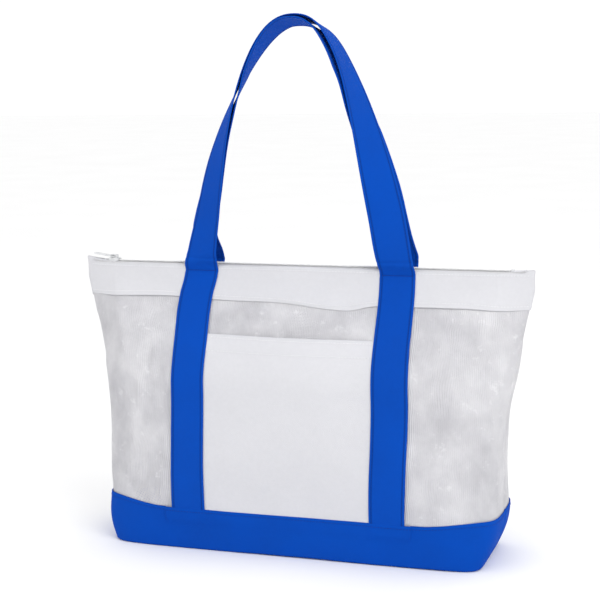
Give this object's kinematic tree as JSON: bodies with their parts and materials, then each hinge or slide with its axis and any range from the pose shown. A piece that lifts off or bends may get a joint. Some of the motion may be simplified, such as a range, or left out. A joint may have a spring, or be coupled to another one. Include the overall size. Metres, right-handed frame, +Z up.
{
  "type": "zippered mesh beach tote bag",
  "caption": "Upright see-through mesh beach tote with solid base band, front slip pocket, zipped top and two tall webbing handle loops.",
  "frame": {"origin": "middle of the bottom panel's underside, on the ground", "axes": "+Z up, +X to the right seen from the front, -Y towards the front (the pocket side)"},
  "size_m": [0.5104, 0.1358, 0.5716],
  "materials": {
    "blue_fabric": "matt coated polyester",
    "blue_webbing": "folded polyester webbing",
    "blue_thread": "polyester thread",
    "white_fabric": "matt coated polyester",
    "white_mesh": "open ribbed mesh",
    "binding_tape": "grosgrain tape",
    "zip_tape": "woven tape",
    "zip_coil": "nylon monofilament",
    "zip_metal": "nickel plated"
  },
  "bodies": {
    "bag": {"base_bottom_panel": "blue_fabric", "base_front_panel": "blue_fabric", "base_back_panel": "blue_fabric", "bottom_seam_binding": "binding_tape", "side_seam_binding_left": "binding_tape", "side_seam_binding_right": "binding_tape", "mesh_front_panel": "white_mesh", "mesh_back_panel": "white_mesh", "top_band_front": "white_fabric", "top_band_back": "white_fabric", "top_facing_front": "white_fabric", "top_facing_back": "white_fabric", "pocket_panel": "white_fabric", "strap_front_left": "blue_webbing", "strap_front_right": "blue_webbing", "strap_back_left": "blue_webbing", "strap_back_right": "blue_webbing", "bar_tacks_front": "blue_thread", "bar_tacks_back": "blue_thread", "zip_tape_front": "zip_tape", "zip_tape_back": "zip_tape", "zip_coil_front": "zip_coil", "zip_coil_back": "zip_coil", "zip_top_stop": "zip_metal", "zip_bottom_stop": "zip_metal", "zip_end_tab_left": "white_fabric", "zip_end_tab_right": "white_fabric"},
    "front_handle": {"handle_front_loop": "blue_webbing"},
    "back_handle": {"handle_back_loop": "blue_webbing"},
    "slider": {"slider_body": "zip_metal", "slider_bail": "zip_metal"},
    "pull": {"pull_tab": "zip_metal"}
  },
  "joints": [
    {"name": "front_handle_swing", "type": "hinge", "parent": "bag", "child": "front_handle", "pos_m": [0, -0.01195, 0.306], "axis": [1, 0, 0], "range_deg": [0, 145]},
    {"name": "back_handle_swing", "type": "hinge", "parent": "bag", "child": "back_handle", "pos_m": [0, 0.01195, 0.306], "axis": [1, 0, 0], "range_deg": [-145, 0]},
    {"name": "zip_slide", "type": "slide", "parent": "bag", "child": "slider", "axis": [1, 0, 0], "range_m": [0, 0.44]},
    {"name": "pull_tab_swing", "type": "hinge", "parent": "slider", "child": "pull", "pos_m": [-0.22, 0, 0.31225], "axis": [0, -1, 0], "range_deg": [-172, 8]}
  ]
}
